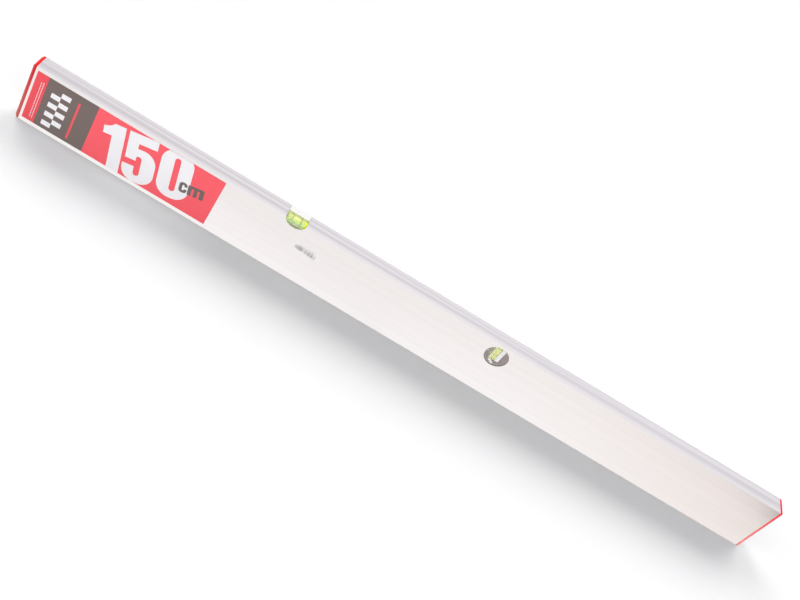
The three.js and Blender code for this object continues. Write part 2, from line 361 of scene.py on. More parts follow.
def dress(obj, material, slot_name, body, *nodes):
    """Smooths the round parts, keeps the flats flat, and puts the piece on its body."""
    obj.data.materials.clear()
    obj.data.materials.append(material)
    pick(obj)
    bpy.ops.object.shade_smooth_by_angle(angle=math.radians(SMOOTH_UNDER))
    flats = obj.modifiers.new("flats", "WEIGHTED_NORMAL")
    flats.keep_sharp = True
    bpy.ops.object.modifier_apply(modifier=flats.name)
    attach(obj, body)
    if nodes:
        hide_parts(*nodes)
    points = [v.co / MM for v in obj.data.vertices]
    reach = ["%.1f to %.1f" % (min(values), max(values)) for values in zip(*points)]
    print(obj.name, "reaches", ", ".join(reach), "mm, with", len(obj.data.polygons), "faces")


# %% [markdown]
# ## Finishes
#
# A plain colour looks like a drawing. What makes a surface look like a thing is how its
# gloss, height and colour vary a little. Three such effects are used by several materials
# here, so each is a node group: lines that a die or a roller leaves along a piece, the fine
# grain of a moulded or printed surface, and the dull patches of handling.

# %% Node groups
def group(name, inputs, outputs):
    """A shader node group with its sockets, and its input and output nodes."""
    made = bpy.data.node_groups.new(name, "ShaderNodeTree")
    for label, value in inputs.items():
        socket = made.interface.new_socket(label, in_out="INPUT", socket_type="NodeSocketFloat")
        socket.default_value = value
    for label in outputs:
        made.interface.new_socket(label, in_out="OUTPUT", socket_type="NodeSocketFloat")
    return made, node(made, "NodeGroupInput"), node(made, "NodeGroupOutput")


def stretched_noise(tree, scale_socket, stretch, detail):
    """Noise on the object's own coordinates in millimetres, drawn out along the bar."""
    place = node(tree, "ShaderNodeTexCoord")
    drawn = node(tree, "ShaderNodeMapping", Scale=(1000 * stretch, 1000, 1000))
    noise = node(tree, "ShaderNodeTexNoise", Detail=detail, Roughness=0.6)
    tree.links.new(place.outputs["Object"], drawn.inputs["Vector"])
    tree.links.new(drawn.outputs["Vector"], noise.inputs["Vector"])
    tree.links.new(scale_socket, noise.inputs["Scale"])
    return noise


# How fast the noise changes along the bar, against across it, and how many broad lines
# there are to each fine one
LINE_STRETCH, BROAD_SHARE = 0.004, 0.12
die_lines, given, put_out = group("die_lines", {"Lines per mm": 0.9}, ["Fine", "Broad"])
fine = stretched_noise(die_lines, given.outputs["Lines per mm"], LINE_STRETCH, 3)
slower = maths(die_lines, "MULTIPLY", given.outputs["Lines per mm"], BROAD_SHARE)
broad = stretched_noise(die_lines, slower, LINE_STRETCH, 2)
die_lines.links.new(fine.outputs["Fac"], put_out.inputs["Fine"])
die_lines.links.new(broad.outputs["Fac"], put_out.inputs["Broad"])

grain, given, put_out = group("grain", {"Grains per mm": 3}, ["Height"])
speck = stretched_noise(grain, given.outputs["Grains per mm"], 1, 3)
grain.links.new(speck.outputs["Fac"], put_out.inputs["Height"])

PATCH_LEVEL = 0.6
handling, given, put_out = group(
    "handling", {"Patches per mm": 0.02, "Sharpness": 0.2}, ["Mask"])
patches = stretched_noise(handling, given.outputs["Patches per mm"], 0.5, 5)
edge = node(handling, "ShaderNodeMapRange", clamp=True)
handling.links.new(patches.outputs["Fac"], edge.inputs["Value"])
for label, operation in (("From Min", "SUBTRACT"), ("From Max", "ADD")):
    limit = maths(handling, operation, PATCH_LEVEL, given.outputs["Sharpness"])
    handling.links.new(limit, edge.inputs[label])
handling.links.new(edge.outputs[0], put_out.inputs["Mask"])
print("node groups:", [g.name for g in bpy.data.node_groups])


# %% Helpers for materials
NOISE_LOW, NOISE_HIGH = 0.3, 0.7  # nearly all of a noise lies between these


def material(name, **values):
    """A material with one Principled shader, whose sockets are set by name."""
    made = bpy.data.materials.new(name)
    made.use_nodes = True
    made.node_tree.nodes.clear()
    out = node(made.node_tree, "ShaderNodeOutputMaterial")
    shader = node(made.node_tree, "ShaderNodeBsdfPrincipled", **values)
    made.node_tree.links.new(shader.outputs[0], out.inputs["Surface"])
    return made, made.node_tree, shader


def use_group(tree, which, **values):
    """A node group placed in a material, with its own values."""
    placed = node(tree, "ShaderNodeGroup", node_tree=which)
    for label, value in values.items():
        placed.inputs[label.replace("_", " ")].default_value = value
    return placed


def object_axes(tree):
    """The piece's own coordinates in metres, as the sockets X, Y and Z."""
    place = node(tree, "ShaderNodeTexCoord")
    axes = node(tree, "ShaderNodeSeparateXYZ")
    tree.links.new(place.outputs["Object"], axes.inputs[0])
    return axes.outputs


def spread(tree, source, low, high, target):
    """Spreads a mask of noise from low to high and feeds it to a socket."""
    tree.links.new(ramp(tree, source, NOISE_LOW, NOISE_HIGH, low, high), target)


def tint(tree, source, dark_colour, light_colour, target):
    """Runs from one colour to another as a mask rises, and feeds a colour socket."""
    tree.links.new(colour_mix(tree, source, dark_colour, light_colour), target)


def neutral_bounce(tree, colour, shader):
    """Feeds the base colour, but lets the piece send only grey light on to what is beside
    it."""
    seen_by = node(tree, "ShaderNodeLightPath")
    tree.links.new(
        colour_mix(tree, seen_by.outputs["Is Diffuse Ray"], colour, (0.6, 0.6, 0.6)),
        shader.inputs["Base Color"])


def bump(tree, source, height_mm, shader):
    """Raises the surface by a mask."""
    raised = node(tree, "ShaderNodeBump", Strength=1, Distance=height_mm * MM)
    tree.links.new(source, raised.inputs["Height"])
    tree.links.new(raised.outputs["Normal"], shader.inputs["Normal"])


# %% [markdown]
# ### Bare aluminium
#
# The bar is an extrusion with no paint on it. The die leaves fine lines along its whole
# length, which show best on the narrow top edge, and the metal is satin, so it mirrors the
# studio only as a soft glow. A plain grey would look like plastic: the shader is metallic,
# and the lines vary its roughness and height. Inside the cells no hand or brush ever came,
# so a dull grey oxide covers the metal there. Light goes round many times in such a cell,
# more often than a render follows it, so a faint glow stands in for what it would add.
# The narrow top edge is the one that was drawn over the bench, so its lines are stronger.
# The cut rim of the round window is painted dark, a painted shade for the dark cell it mirrors.

# %% Aluminium
# The bar's half length, half depth, height and wall, and the round window's middle and
# radius, in millimetres
HALF, DEEP, TALL, WALL = 750.0, 17.5, 120.0, 2.0
PLUMB_X, PLUMB_Z, PLUMB_R = 169.0, 92.0, 22.1
CELL_DULLNESS, CELL_GLOW = 0.8, 0.09

aluminium, tree, shader = material("bare_aluminium", Metallic=1.0)
axes = object_axes(tree)
from_middle = maths(tree, "ABSOLUTE", maths(tree, "SUBTRACT", axes["Z"], TALL / 2 * MM))
between_edges = maths(tree, "LESS_THAN", from_middle, (TALL / 2 - WALL + 0.1) * MM)
between_faces = maths(
    tree, "LESS_THAN", maths(tree, "ABSOLUTE", axes["Y"]), (DEEP - WALL + 0.1) * MM)
inside = maths(tree, "MULTIPLY", between_faces, between_edges)

lines = use_group(tree, die_lines, Lines_per_mm=0.9)
streak = ramp(tree, lines.outputs["Broad"], 0.38, 0.62)
face = colour_mix(tree, streak, (0.895, 0.89, 0.885), (0.92, 0.915, 0.91))
top = colour_mix(tree, streak, (0.80, 0.79, 0.81), (0.97, 0.965, 0.98))
top_band = ramp(tree, axes["Z"], (TALL - 0.1) * MM, (TALL - 0.01) * MM)
outer = colour_mix(tree, top_band, face, top)

flat_place = node(tree, "ShaderNodeCombineXYZ")
from_window = node(tree, "ShaderNodeVectorMath", operation="DISTANCE")
from_window.inputs[1].default_value = metres(PLUMB_X, 0, PLUMB_Z)
tree.links.new(axes["X"], flat_place.inputs["X"])
tree.links.new(axes["Z"], flat_place.inputs["Z"])
tree.links.new(flat_place.outputs[0], from_window.inputs[0])
in_window = maths(tree, "LESS_THAN", from_window.outputs["Value"], (PLUMB_R + 0.05) * MM)
# Painted shade: the cut rim of the round window on the front face is painted dark.
painted_dark_rim = maths(tree, "MULTIPLY", in_window, maths(tree, "LESS_THAN", axes["Y"], 0))
outer = colour_mix(tree, painted_dark_rim, outer, (0.30, 0.28, 0.26))
tree.links.new(
    colour_mix(tree, inside, outer, (0.80, 0.755, 0.75)), shader.inputs["Base Color"])

# %% Gloss of the aluminium
roughness = node(tree, "ShaderNodeMix", data_type="FLOAT")
roughness.inputs[3].default_value = CELL_DULLNESS
tree.links.new(inside, roughness.inputs[0])
spread(tree, lines.outputs["Fine"], 0.30, 0.5, roughness.inputs[2])
tree.links.new(roughness.outputs[0], shader.inputs["Roughness"])
bump(tree, lines.outputs["Fine"], 0.02, shader)
tree.links.new(maths(tree, "SUBTRACT", 1, inside), shader.inputs["Metallic"])
tree.links.new(maths(tree, "MULTIPLY", inside, CELL_GLOW), shader.inputs["Emission Strength"])
shader.inputs["Emission Color"].default_value = (1.0, 0.91, 0.90, 1)
print(aluminium.name, "has", len(tree.nodes), "nodes")

# %% [markdown]
# ### Red caps
#
# The caps are injection moulded, in a red coloured through and through. The mould was
# eroded rather than polished, so the surface has a fine, even grain and a satin gloss. The
# top edge of a cap is painted bright, as painted light from above, and its sides darker. The
# sides are painted paler towards the foot, as a painted reflection of the white paper, and
# the right cap's sides are painted lighter than the left's, as painted light from the right.
# Neither the caps nor the label tint the white paper beside them in the photograph, so both
# reds send only grey light on.

# %% Cap plastic
# Heights between which the caps' sides are painted paler towards the foot, as a painted
# reflection of the paper, and the band along the top edge that is painted bright, as painted
# light from above
PALE_FROM, PALE_TO = 118, 20  # heights, in millimetres
BRIGHT_FROM, BRIGHT_TO = 118.6, 119.6
cap_red, tree, shader = material("moulded_red", IOR=1.3, Specular_IOR_Level=0.3)
skin = use_group(tree, grain, Grains_per_mm=2.5)
marks = use_group(tree, handling, Patches_per_mm=0.05, Sharpness=0.3)
axes = object_axes(tree)
right_one = maths(tree, "GREATER_THAN", axes["X"], 0)
painted_pale_foot = ramp(tree, axes["Z"], PALE_FROM * MM, PALE_TO * MM)
top_band = ramp(tree, axes["Z"], BRIGHT_FROM * MM, BRIGHT_TO * MM)
painted_lit_top = colour_mix(tree, marks.outputs["Mask"], (0.86, 0.003, 0.003), (0.92, 0.005, 0.005))
# Painted light: the right cap's sides are painted lighter than the left's.
upper = colour_mix(tree, right_one, (0.60, 0.014, 0.012), (0.90, 0.055, 0.05))
painted_pale_reds = colour_mix(tree, right_one, (0.60, 0.10, 0.085), (0.92, 0.27, 0.23))
sides = colour_mix(tree, painted_pale_foot, upper, painted_pale_reds)
neutral_bounce(tree, colour_mix(tree, top_band, sides, painted_lit_top), shader)
spread(tree, skin.outputs["Height"], 0.30, 0.42, shader.inputs["Roughness"])
bump(tree, skin.outputs["Height"], 0.03, shader)

# %% [markdown]
# ### Label film
#
# The label is one sheet of vinyl film, printed in three fields: a narrow red one, a warm
# grey one and a long red one. Their borders are straight and lie across the bar, so the
# object's own X coordinate can tell them apart, and the print stays sharp at any distance.

# %% Printed film
FIELD_BORDERS = (-723.4, -629.3)
FADING = 0.08  # how much the print varies
film, tree, shader = material("printed_film", IOR=1.46)
axes = object_axes(tree)
past_red, past_grey = (
    maths(tree, "GREATER_THAN", axes["X"], border * MM) for border in FIELD_BORDERS)
reds = colour_mix(tree, past_red, (0.88, 0.070, 0.092), (1.0, 0.105, 0.132))
on_grey = maths(tree, "SUBTRACT", past_red, past_grey)
fields = colour_mix(tree, on_grey, reds, (0.168, 0.128, 0.116))
skin = use_group(tree, grain, Grains_per_mm=0.6)
faded = node(tree, "ShaderNodeMix", data_type="RGBA", blend_type="MULTIPLY")
faded.inputs[0].default_value = FADING
tree.links.new(fields, faded.inputs[6])
tree.links.new(skin.outputs["Height"], faded.inputs[7])
neutral_bounce(tree, faded.outputs[2], shader)
marks = use_group(tree, handling, Patches_per_mm=0.03, Sharpness=0.2)
spread(tree, marks.outputs["Mask"], 0.28, 0.42, shader.inputs["Roughness"])
bump(tree, skin.outputs["Height"], 0.01, shader)

# %% Inks
def ink(name, dark_colour, light_colour, roughness):
    """A printed colour, a little uneven as screen print is."""
    made, tree, shader = material(name, IOR=1.46)
    skin = use_group(tree, grain, Grains_per_mm=0.8)
    tint(tree, skin.outputs["Height"], dark_colour, light_colour, shader.inputs["Base Color"])
    spread(tree, skin.outputs["Height"], roughness, roughness + 0.1, shader.inputs["Roughness"])
    return made


white_ink = ink("white_ink", (0.87, 0.86, 0.88), (0.93, 0.92, 0.94), 0.3)
grey_ink = ink("grey_ink", (0.13, 0.10, 0.09), (0.17, 0.13, 0.12), 0.3)
red_ink = ink("red_ink", (0.80, 0.08, 0.10), (0.88, 0.10, 0.12), 0.3)
bar_ink = ink("bar_ink", (0.22, 0.18, 0.17), (0.30, 0.25, 0.24), 0.5)
sticker_paper = ink("coated_paper", (0.88, 0.87, 0.86), (0.93, 0.92, 0.91), 0.45)

# %% [markdown]
# ### Vials
#
# Each vial is a block of clear acrylic with a tint of yellow-green, and its bore holds
# spirit with a stronger yellow-green dye. The dye takes up light and gives part of it back,
# so the block looks brighter than what lies behind it. Here that is painted light: each stuff
# has a painted glow, and its colour is painted by which way a face looks, yellow from above,
# where the way through it is short, and mint from the front. A plain transparent colour would
# only look dark. Such a dye shows most at the ends of a block, where the light that it gives
# back comes out, so the end with the plug is painted a strong yellow and glows.

# %% Ends that glow
# Painted light: near its plug, each vial is painted this strong yellow and glows in it.
PAINTED_END_GLOW = (0.80, 0.84, 0.03)
# The axis of each vial, where along it the glow starts and is full, in millimetres, and
# the test on X that is true for that vial alone.
LEVEL_PLUG = ("X", -236.0, -234.0, "LESS_THAN")
PLUMB_PLUG = ("Z", 113.0, 115.5, "GREATER_THAN")

plug_ends, _, put_out = group("plug_ends", {}, ["Mask"])
axes = object_axes(plug_ends)
masks = []
for axis, start, end, test in (LEVEL_PLUG, PLUMB_PLUG):
    near_end = ramp(plug_ends, axes[axis], start * MM, end * MM)
    this_vial = maths(plug_ends, test, axes["X"], 0)
    masks.append(maths(plug_ends, "MULTIPLY", near_end, this_vial))
plug_ends.links.new(maths(plug_ends, "MAXIMUM", *masks), put_out.inputs["Mask"])


# %% Acrylic, spirit, bubble and rings
def clear(name, first_colour, second_colour, clearness, colour, density, refraction, glow):
    """A clear stuff with such a dye: partly a coloured surface and partly see-through, with a
    painted glow, and painted the first colour where it looks up and the second elsewhere. Its
    colour deepens with its thickness: density is for one metre. It casts no shadow, as light
    goes through it."""
    made, tree, shader = material(
        name, Transmission_Weight=clearness, IOR=refraction, Emission_Strength=glow)
    out = next(n for n in tree.nodes if n.type == "OUTPUT_MATERIAL")
    seen_by = node(tree, "ShaderNodeLightPath")
    through = node(tree, "ShaderNodeBsdfTransparent", Color=(1, 1, 1, 1))
    surface = shader_mix(
        tree, seen_by.outputs["Is Shadow Ray"], shader.outputs[0], through.outputs[0])
    absorb = node(tree, "ShaderNodeVolumeAbsorption", Color=(*colour, 1), Density=density)
    tree.links.new(surface, out.inputs["Surface"])
    tree.links.new(absorb.outputs[0], out.inputs["Volume"])
    flow = use_group(tree, grain, Grains_per_mm=0.12)
    place = node(tree, "ShaderNodeTexCoord")
    axes = node(tree, "ShaderNodeSeparateXYZ")
    tree.links.new(place.outputs["Normal"], axes.inputs[0])
    # Painted light: the colour is painted by which way a face looks, and the same colour glows.
    upward = maths(tree, "ADD", axes.outputs["Z"], flow.outputs["Height"])
    dye_and_painted_light = colour_mix(tree, ramp(tree, upward, 1.0, 0.3), first_colour, second_colour)
    plug_end = use_group(tree, plug_ends)
    dye_and_painted_light = colour_mix(tree, plug_end.outputs["Mask"], dye_and_painted_light, PAINTED_END_GLOW)
    tree.links.new(dye_and_painted_light, shader.inputs["Base Color"])
    tree.links.new(dye_and_painted_light, shader.inputs["Emission Color"])
    skin = use_group(tree, grain, Grains_per_mm=0.5)
    spread(tree, skin.outputs["Height"], 0.01, 0.03, shader.inputs["Roughness"])
    return made


acrylic = clear(
    "tinted_acrylic", (0.79, 0.82, 0.43), (0.58, 0.80, 0.50),
    clearness=0.62, colour=(0.95, 0.96, 0.40), density=12, refraction=1.25, glow=0.05)
yellower_acrylic = clear(
    "yellower_acrylic", (0.79, 0.82, 0.43), (0.86, 0.90, 0.58),
    clearness=0.62, colour=(0.95, 0.96, 0.40), density=12, refraction=1.25, glow=0.06)
bright_acrylic = clear(
    "dyed_acrylic", (0.86, 0.90, 0.04), (0.84, 0.90, 0.04),
    clearness=0.3, colour=(0.95, 0.97, 0.10), density=20, refraction=1.25, glow=0.16)
spirit = clear(
    "dyed_spirit", (0.80, 0.79, 0.38), (0.74, 0.80, 0.46),
    clearness=0.62, colour=(0.95, 0.95, 0.20), density=20, refraction=1.12, glow=0.05)
yellower_spirit = clear(
    "yellower_spirit", (0.80, 0.79, 0.38), (0.92, 0.88, 0.46),
    clearness=0.62, colour=(0.95, 0.95, 0.20), density=20, refraction=1.12, glow=0.05)
# Painted highlight: the bubble is an opaque cream that glows, painted bright.
painted_bright_bubble = clear(
    "bubble_painted_bright", (1.0, 0.95, 0.72), (1.0, 0.95, 0.72),
    clearness=0.0, colour=(1.0, 1.0, 0.9), density=1, refraction=1.12, glow=0.85)
ring_green = ink("ring_green", (0.10, 0.17, 0.03), (0.14, 0.22, 0.05), 0.35)

# %% White plastic
carrier_white, tree, shader = material("moulded_white", IOR=1.5)
skin = use_group(tree, grain, Grains_per_mm=2.5)
tint(
    tree, skin.outputs["Height"], (0.82, 0.825, 0.80), (0.87, 0.875, 0.85),
    shader.inputs["Base Color"])
spread(tree, skin.outputs["Height"], 0.35, 0.5, shader.inputs["Roughness"])
bump(tree, skin.outputs["Height"], 0.02, shader)

# %% [markdown]
# ## The bar
#
# The real bar is pressed through a die: a rounded rectangle outside, and two mandrels that
# leave a cell each, with a web between them. It is made here in the same order of thought: a
# long block with its long edges rounded, out of which two slightly longer ones are taken.

# %% Extrusion
# The rounding of the bar's long edges and of the cells', and the bevel on the window rims
EDGE, CELL_CORNER, DEBURR = 1.6, 1, 0.2
CELLS = ((WALL, TALL / 2 - WALL / 2), (TALL / 2 + WALL / 2, TALL - WALL))

bar = block("bar", (-HALF, -DEEP, 0), (HALF, DEEP, TALL))
bevel_edges(bar, lambda at, way: abs(way.x) > 0.9, EDGE, 6)
for low, high in CELLS:
    mandrel = block("mandrel", (-HALF - 1, -DEEP + WALL, low), (HALF + 1, DEEP - WALL, high))
    bevel_edges(mandrel, lambda at, way: abs(way.x) > 0.9, CELL_CORNER, 4)
    boolean(bar, mandrel, "DIFFERENCE")

# %% [markdown]
# The windows are milled after the extrusion, so they are cut with a round tool: one that
# opens into the top edge and goes through both faces, and one through the front wall only.
# A cutter leaves a sharp rim, which is deburred, so each rim gets a very small bevel.

# %% Windows
LEVEL_X, LEVEL_Z, LEVEL_R = -251.0, 126.2, 21.0
# How far the cutters reach to each side of the bar's middle, and the sides of a round cut
PAST, WINDOW_SIDES = 30, 128
for x, z, radius, reach in ((LEVEL_X, LEVEL_Z, LEVEL_R, PAST), (PLUMB_X, PLUMB_Z, PLUMB_R, 0)):
    cutter = rod("cutter", (x, -PAST, z), (x, reach, z), radius, WINDOW_SIDES)
    boolean(bar, cutter, "DIFFERENCE")


def on_rim(at, way):
    """True on the rims of the windows, on the outer faces of the bar."""
    if abs(at.y) < DEEP - EDGE - 0.05 or abs(way.y) > 0.98:
        return False
    on_face = abs(at.y) > DEEP - 0.01
    on_level = abs(math.hypot(at.x - LEVEL_X, at.z - LEVEL_Z) - LEVEL_R) < 0.06
    on_plumb = abs(math.hypot(at.x - PLUMB_X, at.z - PLUMB_Z) - PLUMB_R) < 0.06
    return (on_level and (on_face or at.z > TALL - EDGE)) or (on_plumb and on_face)


print("rim edges:", bevel_edges(bar, on_rim, DEBURR, 2))
dress(bar, aluminium, "bar_aluminium", "root", "bar_profile")

# %% [markdown]
# ## The end caps
#
# Each cap is a plate as large as the bar's section, with two hollow tongues that are pressed
# into the cells. Only the plate shows. Its outer rim has a wide chamfer, which the camera
# sees well on the left cap and only at a glance on the right one, so the same cap looks
# thicker on the left. The right one is modelled, and the left is a copy of it, turned half a
# turn about the vertical axis.

# %% Right cap
# The plate's thickness, its chamfer, how far a tongue goes in, and the play round it
PLATE, CHAMFER, TONGUE, FIT = 7.0, 3.4, 25.0, 0.3
right_cap = block("right_cap", (HALF, -DEEP, 0), (HALF + PLATE, DEEP, TALL))
bevel_edges(
    right_cap, lambda at, way: at.x > HALF + PLATE - 0.01 and abs(way.x) < 0.1, CHAMFER, 1)
bevel_edges(right_cap, lambda at, way: abs(way.x) > 0.5, EDGE, 6)
for low, high in CELLS:
    tongue = block(
        "tongue", (HALF - TONGUE, -DEEP + WALL + FIT, low + FIT),
        (HALF + 1, DEEP - WALL - FIT, high - FIT))
    bevel_edges(tongue, lambda at, way: abs(way.x) > 0.9, CELL_CORNER, 3)
    select_faces(tongue, lambda at, normal: normal.x < -0.9)
    bpy.ops.mesh.inset(thickness=WALL * MM, use_even_offset=True)
    bpy.ops.mesh.extrude_region_move(TRANSFORM_OT_translate={"value": metres(TONGUE, 0, 0)})
    bpy.ops.object.mode_set(mode="OBJECT")
    boolean(right_cap, tongue, "UNION")

# %% Left cap
pick(right_cap)
bpy.ops.object.duplicate(linked=False)
left_cap = bpy.context.object
left_cap.rotation_euler = (0, 0, math.pi)
apply_place(left_cap, "left_cap")
dress(right_cap, cap_red, "cap_plastic", "root", "right_end_cap")
dress(left_cap, cap_red, "cap_plastic", "root", "left_end_cap")

# %% [markdown]
# ## The label
#
# The film is a thin sheet with slightly rounded corners, stuck flat on the front face. The
# length is printed on it in large white numerals, set at a slant of ten degrees. A sign
# maker cuts such numerals out of rectangles with rounded corners, and so does this step:
# each numeral is made of plates that are joined or cut away. U runs along the line of
# print and V up from it, and the whole line is then turned and cut off at the film's edges.

# %% Film
FILM_LOW, FILM_HIGH = corners("size_label")
FILM_THICK, PAPER_THICK, INK_THICK = 0.25, 0.15, 0.1
FILM_CORNER, PAPER_CORNER = 1, 1.5
FILM_FRONT = -DEEP - FILM_THICK
label = block(
    "label_film", (FILM_LOW.x, FILM_FRONT, FILM_LOW.z), (FILM_HIGH.x, -DEEP, FILM_HIGH.z))
bevel_edges(label, lambda at, way: abs(way.y) > 0.9, FILM_CORNER, 4)
dress(label, film, "label_film", "root", "size_label")

# %% Plates for print
PRINT_BACK, PRINT_FRONT = FILM_FRONT + INK_THICK / 2, FILM_FRONT - INK_THICK / 2


def plate(u_low, v_low, u_high, v_high, corner=0.0, deeper=0.0):
    """A flat rectangle of print with rounded corners. A cutting plate is made deeper."""
    made = block(
        "plate", (u_low, PRINT_FRONT - deeper, v_low), (u_high, PRINT_BACK + deeper, v_high))
    if corner:
        bevel_edges(made, lambda at, way: abs(way.y) > 0.9, corner, 10)
    return made


def cut_plate(obj, *edges):
    """Cuts a plate out of the print. The edges are given as for plate."""
    boolean(obj, plate(*edges, deeper=1), "DIFFERENCE")


def add_plate(obj, *edges):
    """Joins a plate on to the print."""
    boolean(obj, plate(*edges), "UNION")


# %% Numerals
one = plate(0, -14, 23.2, 92.6)
add_plate(one, -16.2, 66.4, 2, 92.6)
flag_cutter = rod("cutter", (-16.2, PRINT_FRONT - 1, 104), (-16.2, PRINT_BACK + 1, 104), 21.6)
boolean(one, flag_cutter, "DIFFERENCE")
five = plate(27.1, -9.8, 85.9, 62.6, 26)
cut_plate(five, 48.9, 5.6, 60.0, 46.8, 5.4)
cut_plate(five, 20, 23.6, 51.5, 36.3)
cut_plate(five, 20, 36.3, 49.5, 71)
add_plate(five, 29.9, 36.3, 49.7, 92.6)
add_plate(five, 29.9, 73.1, 83.5, 92.6)
zero = plate(92.2, -9.8, 152.0, 92.6, 27)
cut_plate(zero, 116.3, 6.1, 127.4, 77.5, 5.5)
join(one, five, zero)
one.name = "label_numerals"

# %% Unit
letter_c = plate(133.6, 12.6, 148.5, 34.6, 6.2)
cut_plate(letter_c, 139.4, 17.7, 143.1, 29.7, 1.8)
cut_plate(letter_c, 142.3, 21.0, 155, 26.1)
letter_m = plate(149.9, 12.6, 179.6, 34.2, 3)
add_plate(letter_m, 149.9, 12.6, 156.2, 34.2)
add_plate(letter_m, 171.2, 12.6, 179.6, 22.4)
cut_plate(letter_m, 156.7, 5, 161.0, 28.9, 2)
cut_plate(letter_m, 167.6, 5, 172.0, 28.9, 2)
join(letter_c, letter_m)
letter_c.name = "label_unit"


# %% Place the line of print
def turn_and_place(obj, degrees, to, lift=0.0):
    """Turns print anticlockwise, as seen from the front, about its own zero point, and
    lifts it off the face by a little. A negative lift sets it back."""
    pick(obj)
    obj.rotation_euler = (0, -math.radians(degrees), 0)
    obj.location = metres(to[0], -lift, to[1])
    bpy.ops.object.transform_apply(location=True, rotation=True, scale=True)


def cut_off(obj, point, outwards):
    """Cuts off what lies beyond a plane through the point, and closes the cut."""
    edit(obj, "FACE", "SELECT")
    bpy.ops.mesh.bisect(
        plane_co=metres(*point), plane_no=outwards, use_fill=True, clear_outer=True)
    bpy.ops.object.mode_set(mode="OBJECT")


def trim(obj, low, high):
    """Cuts print off at the edges of the sheet that it is printed on."""
    for corner, outwards in (
            (low, (-1, 0, 0)), (high, (1, 0, 0)), (low, (0, 0, -1)), (high, (0, 0, 1))):
        cut_off(obj, corner, outwards)


SLANT, LINE_START, UNIT_LIFT = 9.8, (-580.7, 9.7), 0.03
for print_line, lift, printed in ((one, 0, white_ink), (letter_c, UNIT_LIFT, grey_ink)):
    turn_and_place(print_line, SLANT, LINE_START, lift)
    trim(print_line, FILM_LOW, FILM_HIGH)
    dress(print_line, printed, "label_film", "root")

# %% [markdown]
# The grey field carries plain marks like those on a levelling staff, and the narrow red
# field two fine broken rules. Both start as a grid of faces, from which every other face or
# a few columns are deleted, and what stays is given a thickness.

# %% Staff marks and rules
def marks_from_grid(name, low, high, columns, rows, keep):
    """A grid on the front face. keep(column, row) says which of its cells are printed."""
    deselect()
    middle = ((low[0] + high[0]) / 2, PRINT_BACK, (low[1] + high[1]) / 2)
    bpy.ops.mesh.primitive_grid_add(
        x_subdivisions=columns, y_subdivisions=rows, size=1, location=metres(*middle),
        rotation=(math.pi / 2, 0, 0))
    bpy.context.object.scale = metres(high[0] - low[0], high[1] - low[1], 1)
    made = apply_place(bpy.context.object, name)
    step = ((high[0] - low[0]) / columns, (high[1] - low[1]) / rows)
    select_faces(made, lambda at, normal: not keep(
        int((at.x - low[0]) / step[0]), int((at.z - low[1]) / step[1])))
    bpy.ops.mesh.delete(type="FACE")
    bpy.ops.mesh.select_all(action="SELECT")
    bpy.ops.mesh.extrude_region_move(
        TRANSFORM_OT_translate={"value": metres(0, PRINT_FRONT - PRINT_BACK, 0)})
    bpy.ops.mesh.select_all(action="SELECT")
    bpy.ops.mesh.normals_make_consistent(inside=False)
    bpy.ops.object.mode_set(mode="OBJECT")
    return made


MARKS_LOW, MARKS_HIGH = 16.8, 98.6  # heights of the print on the grey field
staff = marks_from_grid(
    "label_staff_marks", (-711.4, MARKS_LOW), (-676.9, MARKS_HIGH), 2, 8,
    lambda column, row: (column + row) % 2 == 0)
rules = marks_from_grid(
    "label_rules", (-733.6, 15.8), (-728.4, 97.7), 5, 64,
    lambda column, row: column in (0, 4) and (row * 7 + column * 3) % 9 > 1)
stripe = marks_from_grid(
    "label_stripe", (-663.5, MARKS_LOW), (-659.3, MARKS_HIGH), 1, 8, lambda column, row: True)
dress(staff, white_ink, "label_film", "root")
dress(rules, white_ink, "label_film", "root")
dress(stripe, red_ink, "label_film", "root")

# %% [markdown]
# ## The sticker
#
# A small paper sticker with a row of bars, put on by hand and a little askew. The bars stand
# at equal steps and differ in width, so that some parts of the row look darker.

# %% Sticker
STICKER_TILT = -4.5
STICKER_U, STICKER_V = 24.25, 9.5  # half its length and height
low, high = corners("code_sticker")
sticker_at = ((low.x + high.x) / 2, (low.z + high.z) / 2)
sticker = block(
    "code_paper", (-STICKER_U, -DEEP - PAPER_THICK, -STICKER_V),
    (STICKER_U, -DEEP, STICKER_V))
bevel_edges(sticker, lambda at, way: abs(way.y) > 0.9, PAPER_CORNER, 5)
BAR_WIDTHS = (2, 3, 4, 4, 3, 1, 3, 2, 4, 2, 4, 1, 2)
BAR_STEP = 6
bars = marks_from_grid(
    "code_bars", (-21.4, -6), (21.4, 2.4), BAR_STEP * len(BAR_WIDTHS), 1,
    lambda column, row: column % BAR_STEP < BAR_WIDTHS[column // BAR_STEP])
small = marks_from_grid(
    "code_marks", (-18, 4.2), (17, 6.2), 35, 1,
    lambda column, row: column % 8 > 1 and column % 2 == 0)
join(bars, small)
turn_and_place(bars, STICKER_TILT, sticker_at, PAPER_THICK - FILM_THICK)
turn_and_place(sticker, STICKER_TILT, sticker_at)
dress(sticker, sticker_paper, "sticker_paper", "root", "code_sticker")
dress(bars, bar_ink, "sticker_paper", "root")

# %% [markdown]
# ## The level vial
#
# The block lies along the bar, flush with its top edge, and is drilled from one end. The
# spirit fills the bore. In clear things the surfaces count: where spirit touches acrylic
# there is no air, so the spirit's rod is made a hair larger than the bore, and light then
# bends as it does from one to the other. The two lines are a little wider than in the packed
# model, as wide as ink shows after it has run along the bore.

# %% Pieces of a vial
# The bore's radius, what is left of the block at its blind end, and the plug's length
BORE, BLIND, PLUG = 4.8, 3.0, 3.0
# The play round the plug, what the spirit leaves free before it, and how much wider than the
# bore the spirit is
PLAY, GAP, WET = 0.05, 0.1, 0.02
# The rounding of the block's edges, and the bubble's radius
CORNER, BUBBLE = 0.8, 1.6
